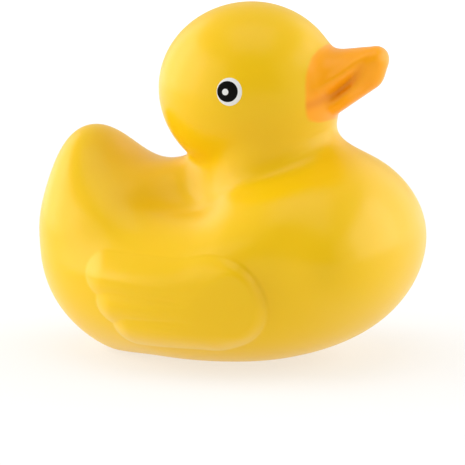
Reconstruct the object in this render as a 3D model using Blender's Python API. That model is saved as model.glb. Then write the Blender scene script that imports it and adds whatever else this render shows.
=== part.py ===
# A rubber duck: one hollow vinyl moulding that stands on a flat base.
# +X is forward, +Z is up, and the origin is the middle of the base.
# The form is a blend of eggs, balls and rounded cones. Geometry nodes work out how far each
# point lies from that blend, and mesh the skin where the distance is nought.

import math

import bmesh
import bpy

MM = 0.001

# Hull, measured from the middle of the base
HULL_AHEAD = 46.2 * MM
HULL_BEHIND = 44.5 * MM
HULL_HALF_WIDTH = 37.6 * MM
HULL_CROWN = 20.7 * MM
HULL_KEEL = 28.6 * MM
BEAM_HEIGHT = 27.45 * MM
DECK_FULLNESS = 2.68
KEEL_FULLNESS = 2.4

# Breast, an egg at the front of the hull
BREAST_AHEAD = 35.3 * MM
BREAST_HEIGHT = 29.2 * MM
BREAST_REACH = 15.5 * MM
BREAST_HALF_WIDTH = 34.0 * MM
BREAST_BLEND = 19.0 * MM

# Chest, the round mass that carries the neck
CHEST_AHEAD = 13.8 * MM
CHEST_HEIGHT = 35.0 * MM
CHEST_REACH_AHEAD = 31.0 * MM
CHEST_REACH_BEHIND = 22.6 * MM
CHEST_HALF_WIDTH = 36.0 * MM
CHEST_RISE = 21.3 * MM
CHEST_DROP = 28.4 * MM
CHEST_FULLNESS = 2.32
CHEST_BLEND = 14.0 * MM

# Tail, a broad upright fan at the back that leans backward
TAIL_BEHIND = 27.7 * MM
TAIL_HALF_THICKNESS = 14.4 * MM
TAIL_HALF_WIDTH = 22.0 * MM
TAIL_RISE = 28.8 * MM
TAIL_LEAN = 0.19
TAIL_BLEND = 13.9 * MM

# Waist, a hollow on each flank between the tail and the breast
WAIST_DEPTH = 11.2 * MM
WAIST_AHEAD = 0.7 * MM
WAIST_LEAN = 1.0
WAIST_REACH_AHEAD = 19.7 * MM
WAIST_REACH_BEHIND = 17.0 * MM
WAIST_FOOT = 22.0 * MM
WAIST_TOP = 42.3 * MM
WAIST_INNER = 1.0 * MM
WAIST_OUTER = 21.0 * MM

# Neck and head
NECK_AHEAD = 13.75 * MM
NECK_RADIUS = 15.7 * MM
NECK_SPREAD = 1.22
NECK_FOOT = 20.0 * MM
NECK_TOP = 62.0 * MM
NECK_ROUNDING = 4.0 * MM
NECK_BLEND_AHEAD = 10.0 * MM
NECK_BLEND_BEHIND = 8.8 * MM
HEAD_AHEAD = 8.9 * MM
HEAD_HEIGHT = 67.3 * MM
HEAD_RADIUS = 22.5 * MM
HEAD_BACK = 23.3 * MM
HEAD_CROWN = 21.4 * MM
HEAD_BLEND = 2.5 * MM

# Bill, two rounded cones run together, each from its root in the head to its tip
UPPER_ROOT_AHEAD = 28.3 * MM
UPPER_ROOT_HEIGHT = 70.5 * MM
UPPER_ROOT_RADIUS = 7.0 * MM
UPPER_TIP_AHEAD = 40.8 * MM
UPPER_TIP_HEIGHT = 75.6 * MM
UPPER_TIP_RADIUS = 3.1 * MM
UPPER_SPREAD = 1.5
LOWER_ROOT_AHEAD = 28.0 * MM
LOWER_ROOT_HEIGHT = 65.6 * MM
LOWER_ROOT_RADIUS = 5.1 * MM
LOWER_TIP_AHEAD = 38.6 * MM
LOWER_TIP_HEIGHT = 72.0 * MM
LOWER_TIP_RADIUS = 4.3 * MM
BILL_JOIN = 4.0 * MM
BILL_TOP_BLEND = 4.8 * MM
BILL_CHIN_BLEND = 1.3 * MM
CHIN_HEIGHT = 62.0 * MM
BROW_HEIGHT = 72.0 * MM

# Mouth, a groove along each side of the bill with a lip above and below
MOUTH_AHEAD = 28.2 * MM
MOUTH_HEIGHT = 65.2 * MM
MOUTH_CLIMB = 0.58
MOUTH_CURL = 0.018 / MM
MOUTH_TILT = 0.8
MOUTH_DEPTH = 0.9 * MM
MOUTH_WIDTH = 1.2 * MM
MOUTH_START = 25.0 * MM
MOUTH_FULL = 28.5 * MM
MOUTH_FADE = 35.0 * MM
MOUTH_END = 41.0 * MM
MOUTH_INNER = 0.3 * MM
MOUTH_OUTER = 3.0 * MM
LIP_HEIGHT = 0.8 * MM
LIP_OFFSET = 2.4 * MM
LIP_WIDTH = 1.3 * MM

# Wings, a disc and three feathers in relief on each side of the hull
WING_RELIEF = 2.2 * MM
WING_EDGE = 2.6 * MM
WING_SHOULDER = 9.0 * MM
WING_STEP = 0.3 * MM
WING_STEP_START = 2.0 * MM
WING_STEP_RUN = 16.0 * MM
WING_AHEAD = 11.5 * MM
WING_HEIGHT = 19.2 * MM
WING_RADIUS = 12.0 * MM
WING_JOIN = 5.0 * MM
WING_INNER = 8.0 * MM
WING_OUTER = 14.0 * MM
SHOULDER_FRONT = 18.0 * MM
SHOULDER_RUN = 10.0 * MM
SHOULDER_FOOT = 14.0 * MM
SHOULDER_TOP = 24.0 * MM
SHOULDER_LEAST = 0.45
FEATHER_ROOT_AHEAD = 8.0 * MM
TOP_FEATHER_ROOT_HEIGHT = 22.4 * MM
TOP_FEATHER_ROOT_RADIUS = 7.4 * MM
TOP_FEATHER_BEHIND = 18.0 * MM
TOP_FEATHER_TIP_HEIGHT = 24.2 * MM
TOP_FEATHER_TIP_RADIUS = 5.8 * MM
MID_FEATHER_ROOT_HEIGHT = 17.4 * MM
MID_FEATHER_ROOT_RADIUS = 6.5 * MM
MID_FEATHER_BEHIND = 15.6 * MM
MID_FEATHER_TIP_HEIGHT = 17.0 * MM
MID_FEATHER_TIP_RADIUS = 5.4 * MM
LOW_FEATHER_ROOT_HEIGHT = 12.2 * MM
LOW_FEATHER_ROOT_RADIUS = 6.0 * MM
LOW_FEATHER_BEHIND = 11.8 * MM
LOW_FEATHER_TIP_HEIGHT = 11.2 * MM
LOW_FEATHER_TIP_RADIUS = 5.3 * MM

# Wall, vent and mesh
WALL = 2.0 * MM
BASE_WALL = 2.5 * MM
VENT_DIAMETER = 3.0 * MM
VENT_BEHIND = 8.0 * MM
VENT_SIDES = 24
SKIN_GRID = 1.2 * MM
HOLLOW_GRID = 2.6 * MM
SKIN_SHARE = 0.19
HOLLOW_SHARE = 0.12
SPACE_ROUND_SKIN = 6.0 * MM
SMOOTHEST_EDGE = 40.0
TINY = 1e-9


class Number:
    """A value that geometry nodes work out at every point."""

    tree = None

    def __init__(self, socket):
        self.socket = socket

    @classmethod
    def node(cls, operation, *values):
        node = cls.tree.nodes.new("ShaderNodeMath")
        node.operation = operation
        for slot, value in zip(node.inputs, values):
            if isinstance(value, Number):
                cls.tree.links.new(value.socket, slot)
            else:
                slot.default_value = value
        return cls(node.outputs[0])

    def __add__(self, other):
        return self.node("ADD", self, other)

    def __radd__(self, other):
        return self.node("ADD", other, self)

    def __sub__(self, other):
        return self.node("SUBTRACT", self, other)

    def __rsub__(self, other):
        return self.node("SUBTRACT", other, self)

    def __mul__(self, other):
        return self.node("MULTIPLY", self, other)

    def __rmul__(self, other):
        return self.node("MULTIPLY", other, self)

    def __truediv__(self, other):
        return self.node("DIVIDE", self, other)

    def __rtruediv__(self, other):
        return self.node("DIVIDE", other, self)

    def __pow__(self, other):
        return self.node("POWER", self, other)

    def __abs__(self):
        return self.node("ABSOLUTE", self)

    def __gt__(self, other):
        return self.node("GREATER_THAN", self, other)


def root(value):
    return Number.node("SQRT", value)


def between(value, low, high):
    return Number.node("MINIMUM", Number.node("MAXIMUM", value, low), high)


def larger(first, second):
    return Number.node("MAXIMUM", first, second)


def rise(value, start, end):
    """Goes smoothly from 0 where the value is at start to 1 where it is at end."""
    share = between((value - start) / (end - start), 0.0, 1.0)
    return share * share * (3.0 - 2.0 * share)


def bell(value):
    """Is 1 where the value is nought and falls away smoothly on both sides."""
    return Number.node("EXPONENT", 0.0 - value * value)


def joined(first, second, blend):
    """The distance to two forms run together, with a fillet of about the blend's width."""
    return Number.node("SMOOTH_MIN", first, second, blend)


def overlap(first, second, blend):
    """The distance to what two forms share, with that edge rounded."""
    return Number.node("SMOOTH_MAX", first, second, blend)


def by_side(value, positive, negative):
    """One number where the value is above nought and another where it is not."""
    return negative + (value > 0.0) * (positive - negative)


def egg(x, y, z, ahead, behind, side, up, down, full_up=2.0, full_down=2.0):
    """An egg with its own reach each way. A fullness of 2 is a true ellipse, and more is boxier."""
    reach = by_side(x, ahead, behind)
    height = by_side(z, up, down)
    full = by_side(z, full_up, full_down)
    along = x / reach
    across = y / side
    lift = abs(z) / height
    round_part = root(along * along + across * across + TINY)
    size = (round_part**full + lift**full + TINY) ** (1.0 / full)
    thin = size ** (1.0 - full)
    pull = thin * round_part ** (full - 2.0)
    slope_x = pull * along / reach
    slope_y = pull * across / side
    slope_z = thin * lift ** (full - 1.0) / height
    slope = root(slope_x * slope_x + slope_y * slope_y + slope_z * slope_z)
    return (size - 1.0) / (slope + MM)


def rounded_cone(x, y, z, start, end, start_radius, end_radius):
    """A rod with ball ends of two sizes, from start to end, each an (x, z) pair."""
    run = end[0] - start[0]
    climb = end[1] - start[1]
    share = ((x - start[0]) * run + (z - start[1]) * climb) / (run * run + climb * climb)
    share = between(share, 0.0, 1.0)
    off_x = x - start[0] - share * run
    off_z = z - start[1] - share * climb
    return root(off_x * off_x + y * y + off_z * off_z) - start_radius - share * (end_radius - start_radius)


def hull(x, y, z):
    lift = z - BEAM_HEIGHT
    shell = egg(x, y, lift, HULL_AHEAD, HULL_BEHIND, HULL_HALF_WIDTH, HULL_CROWN, HULL_KEEL,
                DECK_FULLNESS, KEEL_FULLNESS)
    breast = egg(x - BREAST_AHEAD, y, z - BREAST_HEIGHT, BREAST_REACH, BREAST_REACH, BREAST_HALF_WIDTH,
                 BREAST_REACH, BREAST_REACH)
    shell = joined(shell, breast, BREAST_BLEND)
    chest = egg(x - CHEST_AHEAD, y, z - CHEST_HEIGHT, CHEST_REACH_AHEAD, CHEST_REACH_BEHIND,
                CHEST_HALF_WIDTH, CHEST_RISE, CHEST_DROP, CHEST_FULLNESS)
    shell = joined(shell, chest, CHEST_BLEND)
    tail = egg(x + TAIL_BEHIND + TAIL_LEAN * lift, y, lift, TAIL_HALF_THICKNESS, TAIL_HALF_THICKNESS,
               TAIL_HALF_WIDTH, TAIL_RISE, BEAM_HEIGHT)
    return joined(shell, tail, TAIL_BLEND)


def waist(x, y, z):
    """How deep the hollow on each flank is at a point."""
    off = x - WAIST_AHEAD - WAIST_LEAN * (z - WAIST_TOP)
    off = off / by_side(off, WAIST_REACH_AHEAD, WAIST_REACH_BEHIND)
    return WAIST_DEPTH * bell(off) * rise(z, WAIST_FOOT, WAIST_TOP) * rise(abs(y), WAIST_INNER, WAIST_OUTER)


def feather(x, y, z, root_height, root_radius, behind, tip_height, tip_radius):
    """A feather in side view, so y is nought everywhere."""
    return rounded_cone(x, y, z, (FEATHER_ROOT_AHEAD, root_height), (-behind, tip_height),
                        root_radius, tip_radius)


def wing_relief(x, y, z):
    """How far the wing stands proud at a point, worked out in side view."""
    flat = y * 0.0
    disc = root((x - WING_AHEAD) ** 2.0 + (z - WING_HEIGHT) ** 2.0) - WING_RADIUS
    top = feather(x, flat, z, TOP_FEATHER_ROOT_HEIGHT, TOP_FEATHER_ROOT_RADIUS, TOP_FEATHER_BEHIND,
                  TOP_FEATHER_TIP_HEIGHT, TOP_FEATHER_TIP_RADIUS)
    middle = feather(x, flat, z, MID_FEATHER_ROOT_HEIGHT, MID_FEATHER_ROOT_RADIUS, MID_FEATHER_BEHIND,
                     MID_FEATHER_TIP_HEIGHT, MID_FEATHER_TIP_RADIUS)
    low = feather(x, flat, z, LOW_FEATHER_ROOT_HEIGHT, LOW_FEATHER_ROOT_RADIUS, LOW_FEATHER_BEHIND,
                  LOW_FEATHER_TIP_HEIGHT, LOW_FEATHER_TIP_RADIUS)
    soft = SHOULDER_LEAST + (1.0 - SHOULDER_LEAST) * rise(z, SHOULDER_FOOT, SHOULDER_TOP)
    soft = soft * (1.0 - rise(x, SHOULDER_FRONT - SHOULDER_RUN, SHOULDER_FRONT))
    edge = WING_EDGE + (WING_SHOULDER - WING_EDGE) * soft
    back = between((WING_STEP_START - x) / WING_STEP_RUN, 0.0, 1.0)
    relief = flat
    for row, shape in enumerate((top, middle, low)):
        inside = between((0.0 - joined(shape, disc, WING_JOIN)) / edge, 0.0, 1.0)
        height = WING_RELIEF - row * WING_STEP * back
        relief = larger(relief, height * inside * (2.0 - inside))
    return relief * rise(abs(y), WING_INNER, WING_OUTER)


def neck_and_head(x, y, z):
    across = y / NECK_SPREAD
    side = root((x - NECK_AHEAD) ** 2.0 + across * across) - NECK_RADIUS
    neck = overlap(side, z - NECK_TOP, NECK_ROUNDING)
    neck = overlap(neck, NECK_FOOT - z, NECK_ROUNDING)
    head = egg(x - HEAD_AHEAD, y, z - HEAD_HEIGHT, HEAD_RADIUS, HEAD_BACK, HEAD_RADIUS,
               HEAD_CROWN, HEAD_RADIUS)
    return neck, head


def mouth(x, y, z):
    """How deep the mouth is pressed in at a point, below nought on its lips."""
    ahead = x - MOUTH_AHEAD
    line = MOUTH_HEIGHT + MOUTH_CLIMB * ahead + MOUTH_CURL * ahead * ahead
    off = (z - line) * MOUTH_TILT
    groove = MOUTH_DEPTH * bell(off / MOUTH_WIDTH)
    lips = LIP_HEIGHT * bell((abs(off) - LIP_OFFSET) / LIP_WIDTH)
    along = rise(x, MOUTH_START, MOUTH_FULL) * (1.0 - rise(x, MOUTH_FADE, MOUTH_END))
    return (groove - lips) * along * rise(abs(y), MOUTH_INNER, MOUTH_OUTER)


def bill(x, y, z):
    upper = rounded_cone(x, y / UPPER_SPREAD, z, (UPPER_ROOT_AHEAD, UPPER_ROOT_HEIGHT),
                         (UPPER_TIP_AHEAD, UPPER_TIP_HEIGHT), UPPER_ROOT_RADIUS, UPPER_TIP_RADIUS)
    lower = rounded_cone(x, y, z, (LOWER_ROOT_AHEAD, LOWER_ROOT_HEIGHT),
                         (LOWER_TIP_AHEAD, LOWER_TIP_HEIGHT), LOWER_ROOT_RADIUS, LOWER_TIP_RADIUS)
    return joined(upper, lower, BILL_JOIN)


def duck_distance(x, y, z, relief):
    """How far a point lies outside the duck. The hollow inside leaves out the relief."""
    shell = hull(x, y, z) + waist(x, y, z)
    if relief:
        shell = shell - wing_relief(x, y, z)
    neck, head = neck_and_head(x, y, z)
    forward = between((x - NECK_AHEAD) / NECK_RADIUS, 0.0, 1.0)
    shell = joined(shell, neck, NECK_BLEND_BEHIND + (NECK_BLEND_AHEAD - NECK_BLEND_BEHIND) * forward)
    shell = joined(shell, head, HEAD_BLEND)
    beak = bill(x, y, z)
    if relief:
        beak = beak + mouth(x, y, z)
    upward = between((z - CHIN_HEIGHT) / (BROW_HEIGHT - CHIN_HEIGHT), 0.0, 1.0)
    return joined(shell, beak, BILL_CHIN_BLEND + (BILL_TOP_BLEND - BILL_CHIN_BLEND) * upward)


def skin(name, grid, depth, relief):
    """A mesh of the duck's surface, or of the surface that lies a given depth under it."""
    tree = bpy.data.node_groups.new(name, "GeometryNodeTree")
    tree.interface.new_socket("Geometry", in_out="OUTPUT", socket_type="NodeSocketGeometry")
    Number.tree = tree
    places = tree.nodes.new("ShaderNodeSeparateXYZ")
    position = tree.nodes.new("GeometryNodeInputPosition")
    tree.links.new(position.outputs[0], places.inputs[0])
    x, y, z = (Number(socket) for socket in places.outputs)
    distance = duck_distance(x, y, z, relief)

    margin = SPACE_ROUND_SKIN
    low = (-HULL_BEHIND - margin, -HULL_HALF_WIDTH - margin, -margin)
    high = (BREAST_AHEAD + BREAST_REACH + margin, HULL_HALF_WIDTH + margin,
            HEAD_HEIGHT + HEAD_CROWN + margin)
    level = WALL + 4.0 * margin
    cube = tree.nodes.new("GeometryNodeVolumeCube")
    tree.links.new(larger(level - distance, 0.0).socket, cube.inputs["Density"])
    cube.inputs["Min"].default_value = low
    cube.inputs["Max"].default_value = high
    for axis, near, far in zip("XYZ", low, high):
        cube.inputs["Resolution " + axis].default_value = round((far - near) / grid)
    mesher = tree.nodes.new("GeometryNodeVolumeToMesh")
    tree.links.new(cube.outputs[0], mesher.inputs["Volume"])
    mesher.inputs["Threshold"].default_value = level + depth
    output = tree.nodes.new("NodeGroupOutput")
    tree.links.new(mesher.outputs[0], output.inputs[0])

    piece = bpy.data.objects.new(name, bpy.data.meshes.new(name))
    bpy.context.collection.objects.link(piece)
    piece.modifiers.new("Form", "NODES").node_group = tree
    return piece


def thin_out(piece, share):
    """Fewer faces on the same surface."""
    fewer = piece.modifiers.new("Fewer", "DECIMATE")
    fewer.ratio = share


def settle(piece):
    """Turns what the modifiers make into the piece's own mesh."""
    graph = bpy.context.evaluated_depsgraph_get()
    mesh = bpy.data.meshes.new_from_object(piece.evaluated_get(graph))
    piece.modifiers.clear()
    piece.data = mesh


def cut_flat(piece, height):
    """Cuts away what lies below a height and closes the cut with one flat face."""
    mesh = bmesh.new()
    mesh.from_mesh(piece.data)
    everything = mesh.verts[:] + mesh.edges[:] + mesh.faces[:]
    cut = bmesh.ops.bisect_plane(mesh, geom=everything, dist=1e-6, plane_co=(0.0, 0.0, height),
                                 plane_no=(0.0, 0.0, -1.0), clear_outer=True)
    rim = [item for item in cut["geom_cut"] if isinstance(item, bmesh.types.BMEdge)]
    bmesh.ops.edgeloop_fill(mesh, edges=rim)
    bmesh.ops.recalc_face_normals(mesh, faces=mesh.faces)
    mesh.to_mesh(piece.data)
    mesh.free()


def vinyl():
    material = bpy.data.materials.new("yellow_vinyl")
    material.use_nodes = True
    surface = material.node_tree.nodes["Principled BSDF"]
    surface.inputs["Base Color"].default_value = (0.90, 0.50, 0.03, 1.0)
    surface.inputs["Roughness"].default_value = 0.45
    surface.inputs["Metallic"].default_value = 0.0
    return material


def cut_out(piece, cutter):
    """Takes the cutter's space out of the piece, and leaves the cutter as a guide."""
    cutter.hide_render = True
    cutter.display_type = "WIRE"
    cut = piece.modifiers.new("Cut " + cutter.name, "BOOLEAN")
    cut.operation = "DIFFERENCE"
    cut.solver = "EXACT"
    cut.object = cutter


def vent_pin():
    """A short rod where the vent goes through the base."""
    bpy.ops.mesh.primitive_cylinder_add(
        vertices=VENT_SIDES, radius=VENT_DIAMETER / 2.0, depth=4.0 * BASE_WALL, location=(-VENT_BEHIND, 0.0, 0.0))
    pin = bpy.context.object
    pin.name = "vent_pin"
    return pin


def make_duck():
    duck = skin("duck", SKIN_GRID, 0.0, True)
    thin_out(duck, SKIN_SHARE)
    settle(duck)
    cut_flat(duck, 0.0)
    hollow = skin("hollow", HOLLOW_GRID, WALL, False)
    thin_out(hollow, HOLLOW_SHARE)
    settle(hollow)
    cut_flat(hollow, BASE_WALL)
    cut_out(duck, hollow)
    cut_out(duck, vent_pin())
    duck.data.materials.append(vinyl())
    duck.data.shade_smooth()
    duck.data.set_sharp_from_angle(angle=math.radians(SMOOTHEST_EDGE))


for leftover in list(bpy.data.objects):
    bpy.data.objects.remove(leftover)
make_duck()
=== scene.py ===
# A yellow vinyl bath duck on a pale floor, seen from its right side and a little from the front.
import math

import bpy
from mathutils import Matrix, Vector


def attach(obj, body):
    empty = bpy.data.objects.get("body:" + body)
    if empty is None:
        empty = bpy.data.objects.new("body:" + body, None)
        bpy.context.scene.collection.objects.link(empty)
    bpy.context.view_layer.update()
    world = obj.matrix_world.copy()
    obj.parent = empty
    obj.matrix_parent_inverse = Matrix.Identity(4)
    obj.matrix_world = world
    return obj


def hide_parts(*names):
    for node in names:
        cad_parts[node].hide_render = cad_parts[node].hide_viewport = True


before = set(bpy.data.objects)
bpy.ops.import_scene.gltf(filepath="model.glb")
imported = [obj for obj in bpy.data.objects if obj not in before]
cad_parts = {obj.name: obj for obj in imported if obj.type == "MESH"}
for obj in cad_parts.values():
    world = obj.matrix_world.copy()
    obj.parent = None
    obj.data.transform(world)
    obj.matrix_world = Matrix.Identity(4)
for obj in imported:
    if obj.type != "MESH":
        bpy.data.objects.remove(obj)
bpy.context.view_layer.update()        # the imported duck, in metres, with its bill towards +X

mm = 0.001


class Wire:  # a node socket that Python expressions can work on
    def __init__(self, tree, socket=None):
        self.tree = tree
        self.socket = socket

    def make(self, kind, settings=None, sockets=None, out=0):  # any node, its settings first
        node = self.tree.nodes.new(kind)
        for name, setting in (settings or {}).items():
            setattr(node, name, setting)
        for slot, value in (sockets or {}).items():
            if isinstance(value, Wire):
                self.tree.links.new(value.socket, node.inputs[slot])
            else:
                node.inputs[slot].default_value = value
        return Wire(self.tree, node.outputs[out] if node.outputs else None)

    def maths(self, operation, *values):
        return self.make("ShaderNodeMath", {"operation": operation}, dict(enumerate(values)))

    def __add__(self, other):
        return self.maths("ADD", self, other)

    def __radd__(self, other):
        return self.maths("ADD", other, self)

    def __sub__(self, other):
        return self.maths("SUBTRACT", self, other)

    def __rsub__(self, other):
        return self.maths("SUBTRACT", other, self)

    def __mul__(self, other):
        return self.maths("MULTIPLY", self, other)

    def __rmul__(self, other):
        return self.maths("MULTIPLY", other, self)

    def __truediv__(self, other):
        return self.maths("DIVIDE", self, other)

    def __rtruediv__(self, other):
        return self.maths("DIVIDE", other, self)

    def __pow__(self, other):
        return self.maths("POWER", self, other)

    def __abs__(self):
        return self.maths("ABSOLUTE", self)

    def __gt__(self, other):
        return self.maths("GREATER_THAN", self, other)

    def root(self):
        return self.maths("SQRT", self)

    def exp(self):
        return self.maths("EXPONENT", self)

    def larger(self, other):
        return self.maths("MAXIMUM", self, other)

    def within(self, low, high):
        return self.maths("MINIMUM", self.larger(low), high)

    def joined(self, other, blend):  # two forms run together with a fillet
        return self.maths("SMOOTH_MIN", self, other, blend)

    def overlap(self, other, blend):  # what two forms share, with a rounded edge
        return self.maths("SMOOTH_MAX", self, other, blend)

    def bySide(self, ahead, behind):  # one number above nought, another below it
        return behind + (self > 0.0) * (ahead - behind)

    def rise(self, start, end):  # goes smoothly from 0 at start to 1 at end
        return self.make("ShaderNodeMapRange", {"interpolation_type": "SMOOTHSTEP"},
                         {"Value": self, "From Min": start, "From Max": end})


# The moulding's sizes in millimetres, from the middle of the base.
duckForm = {
    "hullAhead": 46.2, "hullBehind": 44.5, "hullHalfWidth": 37.6, "hullCrown": 20.7, "hullKeel": 28.6,
    "beamHeight": 27.45, "deckFullness": 2.68, "keelFullness": 2.4,
    "breastAhead": 35.3, "breastHeight": 29.2, "breastReach": 15.5, "breastHalfWidth": 34.0,
    "breastBlend": 19.0,
    "chestAhead": 13.8, "chestHeight": 35.0, "chestReachAhead": 31.0, "chestReachBehind": 22.6,
    "chestHalfWidth": 36.0, "chestRise": 21.3, "chestDrop": 28.4, "chestFullness": 2.32, "chestBlend": 14.0,
    "tailBehind": 27.7, "tailHalfThickness": 14.4, "tailHalfWidth": 22.0, "tailRise": 28.8, "tailLean": 0.19,
    "tailBlend": 13.9,
    "waistDepth": 11.2, "waistAhead": 0.7, "waistLean": 1.0, "waistReachAhead": 19.7, "waistReachBehind": 17.0,
    "waistFoot": 22.0, "waistTop": 42.3, "waistInner": 1.0, "waistOuter": 21.0,
    "neckAhead": 13.75, "neckRadius": 15.7, "neckSpread": 1.22, "neckFoot": 20.0, "neckTop": 62.0,
    "neckRounding": 4.0, "neckBlendAhead": 10.0, "neckBlendBehind": 8.8,
    "headAhead": 8.9, "headHeight": 67.3, "headRadius": 22.5, "headBack": 23.3, "headCrown": 21.4,
    "headBlend": 2.5,
    "upperRootAhead": 28.3, "upperRootHeight": 70.5, "upperRootRadius": 7.0, "upperTipAhead": 40.8,
    "upperTipHeight": 75.6, "upperTipRadius": 3.1, "upperSpread": 1.5,
    "lowerRootAhead": 28.0, "lowerRootHeight": 65.6, "lowerRootRadius": 5.1, "lowerTipAhead": 38.6,
    "lowerTipHeight": 72.0, "lowerTipRadius": 4.3, "billJoin": 4.0, "billTopBlend": 4.8, "billChinBlend": 1.3,
    "chinHeight": 62.0, "browHeight": 72.0,
    "mouthAhead": 28.2, "mouthHeight": 65.2, "mouthClimb": 0.58, "mouthCurl": 0.018, "mouthTilt": 0.8,
    "mouthDepth": 0.9, "mouthWidth": 1.2, "mouthStart": 25.0, "mouthFull": 28.5, "mouthFade": 35.0,
    "mouthEnd": 41.0, "mouthInner": 0.3, "mouthOuter": 3.0, "lipHeight": 0.8, "lipOffset": 2.4, "lipWidth": 1.3,
    "wingRelief": 2.2, "wingEdge": 2.6, "wingShoulder": 9.0, "wingStep": 0.3, "wingAhead": 11.5,
    "wingHeight": 19.2, "wingRadius": 12.0, "wingJoin": 5.0, "wingInner": 8.0, "wingOuter": 14.0,
    "stepStart": 2.0, "stepRun": 16.0, "shoulderBack": 8.0, "shoulderFront": 18.0, "shoulderFoot": 14.0,
    "shoulderTop": 24.0, "shoulderLeast": 0.45,
    "baseEdge": 1.2, "ventRadius": 1.5, "ventBehind": 8.0, "ventDepth": 3.0, "ventEdge": 0.4,
}


def egg(x, y, z, ahead, behind, side, up, down, fullUp=2.0, fullDown=2.0):  # with its own reach each way
    reach = x.bySide(ahead, behind)
    height = z.bySide(up, down)
    full = z.bySide(fullUp, fullDown)
    along = x / reach
    across = y / side
    lift = abs(z) / height
    girth = (along * along + across * across + 1e-9).root()
    size = (girth ** full + lift ** full + 1e-9) ** (1.0 / full)
    thin = size ** (1.0 - full)
    pull = thin * girth ** (full - 2.0)
    slopeX = pull * along / reach
    slopeY = pull * across / side
    slopeZ = thin * lift ** (full - 1.0) / height
    slope = (slopeX * slopeX + slopeY * slopeY + slopeZ * slopeZ).root()
    return (size - 1.0) / (slope + 1e-6)


def roundedCone(x, y, z, start, end, startRadius, endRadius):  # a rod with ball ends of two sizes
    run = end[0] - start[0]
    climb = end[1] - start[1]
    share = ((x - start[0]) * run + (z - start[1]) * climb) / (run * run + climb * climb)
    share = share.within(0.0, 1.0)
    offX = x - start[0] - share * run
    offZ = z - start[1] - share * climb
    return (offX * offX + y * y + offZ * offZ).root() - startRadius - share * (endRadius - startRadius)


def hull(x, y, z, form):
    lift = z - form["beamHeight"]
    shell = egg(x, y, lift, form["hullAhead"], form["hullBehind"], form["hullHalfWidth"],
                form["hullCrown"], form["hullKeel"], form["deckFullness"], form["keelFullness"])
    breast = egg(x - form["breastAhead"], y, z - form["breastHeight"], form["breastReach"], form["breastReach"],
                 form["breastHalfWidth"], form["breastReach"], form["breastReach"])
    shell = shell.joined(breast, form["breastBlend"])
    chest = egg(x - form["chestAhead"], y, z - form["chestHeight"], form["chestReachAhead"],
                form["chestReachBehind"], form["chestHalfWidth"], form["chestRise"], form["chestDrop"],
                form["chestFullness"])
    shell = shell.joined(chest, form["chestBlend"])
    tail = egg(x + form["tailBehind"] + form["tailLean"] * lift, y, lift, form["tailHalfThickness"],
               form["tailHalfThickness"], form["tailHalfWidth"], form["tailRise"], form["beamHeight"])
    shell = shell.joined(tail, form["tailBlend"])
    off = x - form["waistAhead"] - form["waistLean"] * (z - form["waistTop"])
    off = off / off.bySide(form["waistReachAhead"], form["waistReachBehind"])
    waist = form["waistDepth"] * (0.0 - off * off).exp()  # a hollow on each flank, between tail and breast
    waist = waist * z.rise(form["waistFoot"], form["waistTop"])
    return shell + waist * abs(y).rise(form["waistInner"], form["waistOuter"])


feathers = (  # each one's start and end (ahead, height), its two radii and how many steps it lies back
    ((8.0, 22.4), (-18.0, 24.2), 7.4, 5.8, 0.0),
    ((8.0, 17.4), (-15.6, 17.0), 6.5, 5.4, 1.0),
    ((8.0, 12.2), (-11.8, 11.2), 6.0, 5.3, 2.0),
)


def wing(x, y, z, form):  # how far the wing stands proud, from the side view of a disc and three feathers
    flat = y * 0.0
    offX = x - form["wingAhead"]
    offZ = z - form["wingHeight"]
    disc = (offX * offX + offZ * offZ).root() - form["wingRadius"]
    high = z.rise(form["shoulderFoot"], form["shoulderTop"])
    soft = form["shoulderLeast"] + (1.0 - form["shoulderLeast"]) * high
    soft = soft * (1.0 - x.rise(form["shoulderBack"], form["shoulderFront"]))
    edge = form["wingEdge"] + (form["wingShoulder"] - form["wingEdge"]) * soft
    back = ((form["stepStart"] - x) / form["stepRun"]).within(0.0, 1.0)
    relief = flat
    for start, end, startRadius, endRadius, step in feathers:
        feather = roundedCone(x, flat, z, start, end, startRadius, endRadius)
        feather = feather.joined(disc, form["wingJoin"])
        inside = (0.0 - feather / edge).within(0.0, 1.0)
        height = form["wingRelief"] - form["wingStep"] * step * back
        relief = relief.larger(height * inside * (2.0 - inside))
    return relief * abs(y).rise(form["wingInner"], form["wingOuter"])


def bill(x, y, z, form):  # the upper and lower halves, with the mouth line pressed in between them
    upper = roundedCone(x, y / form["upperSpread"], z, (form["upperRootAhead"], form["upperRootHeight"]),
                        (form["upperTipAhead"], form["upperTipHeight"]), form["upperRootRadius"],
                        form["upperTipRadius"])
    lower = roundedCone(x, y, z, (form["lowerRootAhead"], form["lowerRootHeight"]),
                        (form["lowerTipAhead"], form["lowerTipHeight"]), form["lowerRootRadius"],
                        form["lowerTipRadius"])
    both = upper.joined(lower, form["billJoin"])
    ahead = x - form["mouthAhead"]
    line = form["mouthHeight"] + form["mouthClimb"] * ahead + form["mouthCurl"] * ahead * ahead
    off = (z - line) * form["mouthTilt"]
    groove = (0.0 - (off / form["mouthWidth"]) ** 2.0).exp() * form["mouthDepth"]
    lip = (0.0 - ((abs(off) - form["lipOffset"]) / form["lipWidth"]) ** 2.0).exp() * form["lipHeight"]
    along = x.rise(form["mouthStart"], form["mouthFull"]) * (1.0 - x.rise(form["mouthFade"], form["mouthEnd"]))
    return both + (groove - lip) * along * abs(y).rise(form["mouthInner"], form["mouthOuter"])


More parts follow.
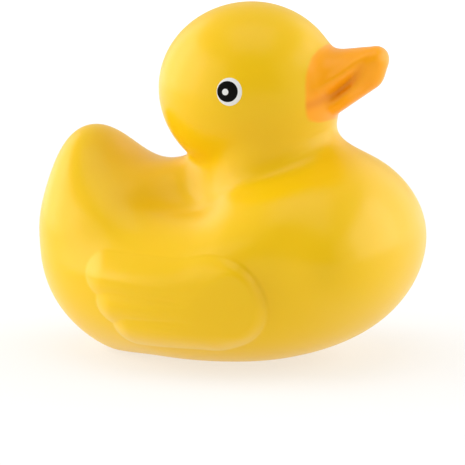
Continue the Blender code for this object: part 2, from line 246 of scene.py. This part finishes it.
def duckDistance(place, form):  # how far a point lies outside the skin
    split = place.make("ShaderNodeSeparateXYZ", None, {0: place})
    x, y, z = (Wire(place.tree, socket) / mm for socket in split.socket.node.outputs)
    shell = hull(x, y, z, form) - wing(x, y, z, form)
    offX = x - form["neckAhead"]
    across = y / form["neckSpread"]
    neck = (offX * offX + across * across).root() - form["neckRadius"]
    neck = neck.overlap(z - form["neckTop"], form["neckRounding"])
    neck = neck.overlap(form["neckFoot"] - z, form["neckRounding"])
    forward = ((x - form["neckAhead"]) / form["neckRadius"]).within(0.0, 1.0)
    blend = form["neckBlendBehind"] + (form["neckBlendAhead"] - form["neckBlendBehind"]) * forward
    shell = shell.joined(neck, blend)
    head = egg(x - form["headAhead"], y, z - form["headHeight"], form["headRadius"], form["headBack"],
               form["headRadius"], form["headCrown"], form["headRadius"])
    shell = shell.joined(head, form["headBlend"])
    upward = ((z - form["chinHeight"]) / (form["browHeight"] - form["chinHeight"])).within(0.0, 1.0)
    blend = form["billChinBlend"] + (form["billTopBlend"] - form["billChinBlend"]) * upward
    shell = shell.joined(bill(x, y, z, form), blend)
    shell = shell.overlap(0.0 - z, form["baseEdge"])
    ventX = x + form["ventBehind"]
    vent = (ventX * ventX + y * y).root() - form["ventRadius"]
    vent = vent.overlap(z - form["ventDepth"], form["ventEdge"])
    return shell.overlap(0.0 - vent, form["ventEdge"])


def sizeSockets(tree, sizes):  # the tree's named inputs, one for each size
    for name, size in sizes.items():
        socket = tree.interface.new_socket(name, in_out="INPUT", socket_type="NodeSocketFloat")
        socket.default_value = size
    return tree


def distanceTree():
    tree = bpy.data.node_groups.new("duckDistance", "GeometryNodeTree")
    tree.interface.new_socket("Place", in_out="INPUT", socket_type="NodeSocketVector")
    sizeSockets(tree, duckForm)
    tree.interface.new_socket("Distance", in_out="OUTPUT", socket_type="NodeSocketFloat")
    entry = tree.nodes.new("NodeGroupInput")
    sizes = {name: Wire(tree, entry.outputs[name]) for name in duckForm}
    distance = duckDistance(Wire(tree, entry.outputs["Place"]), sizes)
    result = tree.nodes.new("NodeGroupOutput")
    tree.links.new(distance.socket, result.inputs[0])
    return tree


skinMesh = {"grid": 0.62, "low": (-53.0, -42.0, -5.0), "high": (60.0, 42.0, 96.0), "level": 20.0,
            "settling": 3, "nudge": 0.05}  # the grid and the corners are in millimetres


def duckTree(shape, material):  # meshes the skin where the distance is nought
    tree = bpy.data.node_groups.new("duckSkin", "GeometryNodeTree")
    sizeSockets(tree, duckForm)
    tree.interface.new_socket("Geometry", in_out="OUTPUT", socket_type="NodeSocketGeometry")
    entry = tree.nodes.new("NodeGroupInput")
    start = Wire(tree)

    def distanceAt(place):
        group = start.make("GeometryNodeGroup", {"node_tree": shape}, {"Place": place})
        for name in duckForm:
            tree.links.new(entry.outputs[name], group.socket.node.inputs[name])
        return group

    def shifted(place, axis, step):
        offset = [0.0, 0.0, 0.0]
        offset[axis] = step
        return start.make("ShaderNodeVectorMath", {"operation": "ADD"}, {0: place, 1: offset})

    here = start.make("GeometryNodeInputPosition")
    density = (skinMesh["level"] - distanceAt(here)).larger(0.0)
    low = Vector(skinMesh["low"]) * mm
    high = Vector(skinMesh["high"]) * mm
    steps = [round((high[axis] - low[axis]) / (skinMesh["grid"] * mm)) for axis in range(3)]
    cube = start.make("GeometryNodeVolumeCube", None, {
        "Density": density, "Min": low, "Max": high,
        "Resolution X": steps[0], "Resolution Y": steps[1], "Resolution Z": steps[2]})
    skin = start.make("GeometryNodeVolumeToMesh", None, {"Volume": cube, "Threshold": skinMesh["level"]})
    nudge = skinMesh["nudge"] * mm
    for _ in range(skinMesh["settling"]):  # each pass moves the points onto the true surface
        distance = distanceAt(here)
        slopes = [(distanceAt(shifted(here, axis, nudge)) - distance) / skinMesh["nudge"] for axis in range(3)]
        steep = slopes[0] * slopes[0] + slopes[1] * slopes[1] + slopes[2] * slopes[2] + 1e-6
        move = start.make("ShaderNodeCombineXYZ", None,
                          {axis: 0.0 - slopes[axis] * distance * mm / steep for axis in range(3)})
        skin = start.make("GeometryNodeSetPosition", None, {"Geometry": skin, "Offset": move})
    skin = start.make("GeometryNodeSetShadeSmooth", None, {"Geometry": skin})
    skin = start.make("GeometryNodeRealizeInstances", None, {"Geometry": skin})
    skin = start.make("GeometryNodeSetMaterial", None, {"Geometry": skin, "Material": material})
    result = tree.nodes.new("NodeGroupOutput")
    tree.links.new(skin.socket, result.inputs[0])
    return tree


def makeDuck(material):
    tree = duckTree(distanceTree(), material)
    maker = bpy.data.objects.new("duckMaker", bpy.data.meshes.new("duckMaker"))
    bpy.context.scene.collection.objects.link(maker)
    builder = maker.modifiers.new("Form", "NODES")
    builder.node_group = tree
    for item in tree.interface.items_tree:
        if item.in_out == "INPUT":
            builder[item.identifier] = duckForm[item.name]
    graph = bpy.context.evaluated_depsgraph_get()
    mesh = bpy.data.meshes.new_from_object(maker.evaluated_get(graph))
    bpy.data.objects.remove(maker)
    duck = bpy.data.objects.new("duckSkin", mesh)
    bpy.context.scene.collection.objects.link(duck)
    print("duck skin:", len(mesh.polygons), "faces")
    return duck


vinylLook = {  # the paint's places and those of the painted shade along the mouth crease are in millimetres, as in duckForm
    "yellow": (0.86, 0.53, 0.003), "orange": (0.99, 0.38, 0.002), "roughness": 0.3, "unevenness": 0.06,
    "gloss": 0.27,
    "grainScale": 1800.0, "grainStrength": 0.08, "grainDepth": 0.0001, "waveScale": 160.0,
    "translucency": 0.1, "glowRadius": (1.0, 0.5, 0.1), "glowDepth": 0.003,
    "paintStart": 26.9, "paintMiddle": 67.0, "paintReach": 11.0, "paintCurve": 6.0, "paintFoot": 60.4,
    "paintCorner": 4.0, "paintEdge": 0.9, "paintWobble": 0.8,
    # the crease entries paint shade: a darker orange band along the mouth crease, where shade falls in the
    # groove
    "creaseShadeOrange": (0.80, 0.24, 0.002), "creaseStart": 27.8, "creaseFoot": 65.2, "creaseClimb": 0.30,
    "creaseCurl": 0.048, "creaseWidth": 1.3, "creaseShadeDepth": 0.6, "creaseFade": 33.0, "creaseEnd": 42.0,
}


def vinylMaterial():
    material = bpy.data.materials.new("yellowVinyl")
    material.use_nodes = True
    tree = material.node_tree
    tree.nodes.clear()
    start = Wire(tree)
    place = start.make("ShaderNodeTexCoord", None, None, "Object")
    split = start.make("ShaderNodeSeparateXYZ", None, {0: place})
    x, y, z = (Wire(tree, socket) / mm for socket in split.socket.node.outputs)
    dots = start.make("ShaderNodeTexNoise", None, {
        "Vector": place, "Scale": vinylLook["grainScale"], "Detail": 2.0})
    waves = start.make("ShaderNodeTexNoise", None, {
        "Vector": place, "Scale": vinylLook["waveScale"], "Detail": 3.0})
    wobble = (waves - 0.5) * vinylLook["paintWobble"]
    offMiddle = (z - vinylLook["paintMiddle"]) / vinylLook["paintReach"]
    edge = vinylLook["paintStart"] + offMiddle ** vinylLook["paintCurve"] + wobble
    half = 0.5 * vinylLook["paintEdge"]
    bare = (edge - x).overlap(vinylLook["paintFoot"] - z + wobble, vinylLook["paintCorner"])
    paint = 1.0 - bare.rise(-half, half)
    # painted shade: a darker orange band that follows the mouth crease and fades towards the bill tip
    ahead = x - vinylLook["creaseStart"]
    line = vinylLook["creaseFoot"] + vinylLook["creaseClimb"] * ahead + vinylLook["creaseCurl"] * ahead * ahead
    off = (z - line) / vinylLook["creaseWidth"]
    creaseShade = (0.0 - off * off).exp() * (1.0 - x.rise(vinylLook["creaseFade"], vinylLook["creaseEnd"]))
    # the bill's orange paint, with painted shade darkening it along the mouth crease
    orange = start.make("ShaderNodeMix", {"data_type": "RGBA"}, {
        0: creaseShade * vinylLook["creaseShadeDepth"], 6: (*vinylLook["orange"], 1.0),
        7: (*vinylLook["creaseShadeOrange"], 1.0)}, 2)
    colour = start.make("ShaderNodeMix", {"data_type": "RGBA"}, {
        0: paint, 6: (*vinylLook["yellow"], 1.0), 7: orange}, 2)
    bump = start.make("ShaderNodeBump", None, {
        "Height": dots, "Strength": vinylLook["grainStrength"], "Distance": vinylLook["grainDepth"]})
    surface = start.make("ShaderNodeBsdfPrincipled", None, {
        "Base Color": colour, "Roughness": vinylLook["roughness"] + (waves - 0.5) * vinylLook["unevenness"],
        "Specular IOR Level": vinylLook["gloss"], "Normal": bump,
        "Subsurface Weight": vinylLook["translucency"], "Subsurface Radius": vinylLook["glowRadius"],
        "Subsurface Scale": vinylLook["glowDepth"]})
    start.make("ShaderNodeOutputMaterial", None, {"Surface": surface})
    return material


paints = {"white": (0.80, 0.80, 0.78), "black": (0.004, 0.004, 0.003), "roughness": 0.38, "unevenness": 0.1,
          "gloss": 0.05, "speckle": 0.05, "grainScale": 2600.0, "grainStrength": 0.06, "grainDepth": 0.0001}


def paintMaterial(name, colour):
    material = bpy.data.materials.new(name)
    material.use_nodes = True
    tree = material.node_tree
    tree.nodes.clear()
    start = Wire(tree)
    place = start.make("ShaderNodeTexCoord", None, None, "Object")
    dots = start.make("ShaderNodeTexNoise", None, {
        "Vector": place, "Scale": paints["grainScale"], "Detail": 2.0})
    worn = tuple(channel * (1.0 - paints["speckle"]) for channel in colour)
    shade = start.make("ShaderNodeMix", {"data_type": "RGBA"}, {0: dots, 6: (*colour, 1.0), 7: (*worn, 1.0)}, 2)
    bump = start.make("ShaderNodeBump", None, {
        "Height": dots, "Strength": paints["grainStrength"], "Distance": paints["grainDepth"]})
    surface = start.make("ShaderNodeBsdfPrincipled", None, {
        "Base Color": shade, "Roughness": paints["roughness"] + (dots - 0.5) * paints["unevenness"],
        "Specular IOR Level": paints["gloss"], "Normal": bump})
    start.make("ShaderNodeOutputMaterial", None, {"Surface": surface})
    return material


eyeLook = {  # each film's middle (ahead, height), its half width and half height, and how proud it stands
    "white": ((10.25, 68.85), (3.25, 3.5), 0.10),
    "black": ((9.9, 68.9), (2.8, 2.8), 0.17),
    "glint": ((9.35, 68.8), (0.92, 0.92), 0.22),
}
eyeMesh = {"rings": 14, "spokes": 64, "fullness": 10, "rimDrop": 0.03, "rootDrop": 0.15, "rootShare": 0.995}


def eyeFilm(name, side, middle, reach, lift, material):  # a thin closed skin of paint on the head
    form = duckForm
    rings, spokes = eyeMesh["rings"], eyeMesh["spokes"]

    def point(share, spoke, proud):
        turn = 2.0 * math.pi * spoke / spokes
        x = middle[0] + share * reach[0] * math.cos(turn) - form["headAhead"]
        z = middle[1] + share * reach[1] * math.sin(turn) - form["headHeight"]
        along = form["headRadius"] if x > 0.0 else form["headBack"]
        up = form["headCrown"] if z > 0.0 else form["headRadius"]
        y = side * form["headRadius"] * math.sqrt(1.0 - (x / along) ** 2 - (z / up) ** 2)
        out = Vector((x / along ** 2, y / form["headRadius"] ** 2, z / up ** 2)).normalized()
        return (Vector((x + form["headAhead"], y, z + form["headHeight"])) + out * proud) * mm

    points = [point(0.0, 0, lift)]
    faces = []
    for ring in range(1, rings + 1):
        share = ring / rings
        edge = share ** eyeMesh["fullness"]
        proud = lift * (1.0 - edge) - eyeMesh["rimDrop"] * edge
        points += [point(share, spoke, proud) for spoke in range(spokes)]
    for ring in range(rings, 0, -1):
        share = eyeMesh["rootShare"] * ring / rings
        points += [point(share, spoke, -eyeMesh["rootDrop"]) for spoke in range(spokes)]
    points.append(point(0.0, 0, -eyeMesh["rootDrop"]))
    rows = 2 * rings
    for spoke in range(spokes):
        after = (spoke + 1) % spokes
        faces.append((0, 1 + spoke, 1 + after))
        for row in range(rows - 1):
            start = 1 + row * spokes
            faces.append((start + spoke, start + spokes + spoke, start + spokes + after, start + after))
        start = 1 + (rows - 1) * spokes
        faces.append((start + spoke, len(points) - 1, start + after))
    if side > 0:
        faces = [tuple(reversed(face)) for face in faces]
    mesh = bpy.data.meshes.new(name)
    mesh.from_pydata(points, [], faces)
    mesh.materials.append(material)
    mesh.shade_smooth()
    film = bpy.data.objects.new(name, mesh)
    bpy.context.scene.collection.objects.link(film)
    return film


def makeEyes():
    white = paintMaterial("whitePaint", paints["white"])
    black = paintMaterial("blackPaint", paints["black"])
    for side, sideName in ((-1, "right"), (1, "left")):
        for part, (middle, reach, lift) in eyeLook.items():
            dark = part == "black"
            film = eyeFilm(f"{sideName}Eye_{part}", side, middle, reach, lift, black if dark else white)
            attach(film, "root")
    print("eyes made")


studio = {"floorReach": 4.0, "floorColour": (0.35, 0.35, 0.35), "floorRoughness": 0.8, "floorGloss": 0.1,
          "floorGlow": 0.62, "farGlow": 0.95, "glowFrom": 0.2, "glowTo": 1.2,
          "boxSize": 0.8, "boxDistance": 1.0, "boxCentre": 0.045,
          "ahead": 0.31, "around": 0.62, "tentFrom": 0.25, "tentTo": 0.75}
softBoxes = {  # each light's turn from the camera, its tilt above the floor and its watts
    "leftFront": (-60.0, 20.0, 2.43), "left": (-95.0, 20.0, 3.95), "leftBack": (-130.0, 20.0, 2.3),
    "rightFront": (60.0, 20.0, 1.07), "right": (95.0, 20.0, 4.1), "rightBack": (130.0, 20.0, 1.3),
    "top": (0.0, 80.0, 2.3),
}


def floorMaterial():  # pale paper that glows, a little more away from the duck
    material = bpy.data.materials.new("paleFloor")
    material.use_nodes = True
    tree = material.node_tree
    tree.nodes.clear()
    start = Wire(tree)
    place = start.make("ShaderNodeTexCoord", None, None, "Object")
    split = start.make("ShaderNodeSeparateXYZ", None, {0: place})
    x, y = (Wire(tree, socket) for socket in split.socket.node.outputs[:2])
    far = (x * x + y * y).root().rise(studio["glowFrom"], studio["glowTo"])
    surface = start.make("ShaderNodeBsdfPrincipled", None, {
        "Base Color": (*studio["floorColour"], 1.0), "Roughness": studio["floorRoughness"],
        "Specular IOR Level": studio["floorGloss"],
        "Emission Color": studio["floorGlow"] + (studio["farGlow"] - studio["floorGlow"]) * far,
        "Emission Strength": 1.0})
    start.make("ShaderNodeOutputMaterial", None, {"Surface": surface})
    return material


def makeFloor():
    half = studio["floorReach"]
    mesh = bpy.data.meshes.new("floor")
    corners = [(-half, -half, 0), (half, -half, 0), (half, half, 0), (-half, half, 0)]
    mesh.from_pydata(corners, [], [(0, 1, 2, 3)])
    mesh.materials.append(floorMaterial())
    floor = bpy.data.objects.new("floor", mesh)
    bpy.context.scene.collection.objects.link(floor)
    return floor


def softBox(name, turn, tilt, power):
    lamp = bpy.data.lights.new(name, "AREA")
    lamp.shape = "SQUARE"
    lamp.size = studio["boxSize"]
    lamp.energy = power
    light = bpy.data.objects.new(name, lamp)
    bpy.context.scene.collection.objects.link(light)
    way = heading(view["azimuth"] + turn, tilt)
    light.location = way * studio["boxDistance"] + Vector((0.0, 0.0, studio["boxCentre"]))
    light.rotation_euler = way.to_track_quat("Z", "Y").to_euler()


def heading(azimuth, elevation):  # azimuth 0 looks at the duck's right side, and 90 at its bill
    turn, tilt = math.radians(azimuth), math.radians(elevation)
    return Vector((math.sin(turn) * math.cos(tilt), -math.cos(turn) * math.cos(tilt), math.sin(tilt)))


def makeWorld():  # a white tent with a dim side towards the place that the camera looks from
    world = bpy.data.worlds.new("tent")
    world.use_nodes = True
    tree = world.node_tree
    tree.nodes.clear()
    start = Wire(tree)
    way = start.make("ShaderNodeTexCoord", None, None, "Generated")
    toward = start.make("ShaderNodeVectorMath", {"operation": "DOT_PRODUCT"},
                        {0: way, 1: heading(view["azimuth"], view["elevation"])}, "Value")
    dark = start.make("ShaderNodeBackground", None, {"Color": (1, 1, 1, 1), "Strength": studio["ahead"]})
    bright = start.make("ShaderNodeBackground", None, {"Color": (1, 1, 1, 1), "Strength": studio["around"]})
    share = toward.rise(studio["tentFrom"], studio["tentTo"])
    both = start.make("ShaderNodeMixShader", None, {0: share, 1: bright, 2: dark})
    start.make("ShaderNodeOutputWorld", None, {"Surface": both})
    bpy.context.scene.world = world


view = {"azimuth": 18.0, "elevation": 10.0, "distance": 0.7, "imageWidth": 465, "pixelsPerMillimetre": 3.93,
        "aimRight": 3.67 * mm, "aimUp": 29.63 * mm, "sensor": 36.0}


def makeCamera():
    way = heading(view["azimuth"], view["elevation"])
    right = heading(view["azimuth"] + 90.0, 0.0)
    up = way.cross(right)
    lens = bpy.data.cameras.new("camera")
    lens.sensor_width = view["sensor"]
    frameWidth = view["imageWidth"] / view["pixelsPerMillimetre"] * mm
    lens.lens = lens.sensor_width * view["distance"] / frameWidth
    camera = bpy.data.objects.new("camera", lens)
    bpy.context.scene.collection.objects.link(camera)
    camera.location = right * view["aimRight"] + up * view["aimUp"] + way * view["distance"]
    camera.rotation_euler = way.to_track_quat("Z", "Y").to_euler()
    bpy.context.scene.camera = camera
    print("camera set")


makeCamera()
duck = makeDuck(vinylMaterial())
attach(duck, "root")
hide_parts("duck")
makeEyes()
makeFloor()
for lampName, (turn, tilt, power) in softBoxes.items():
    softBox(lampName, turn, tilt, power)
makeWorld()
print("studio lit")
bpy.context.scene.view_settings.view_transform = "Standard"
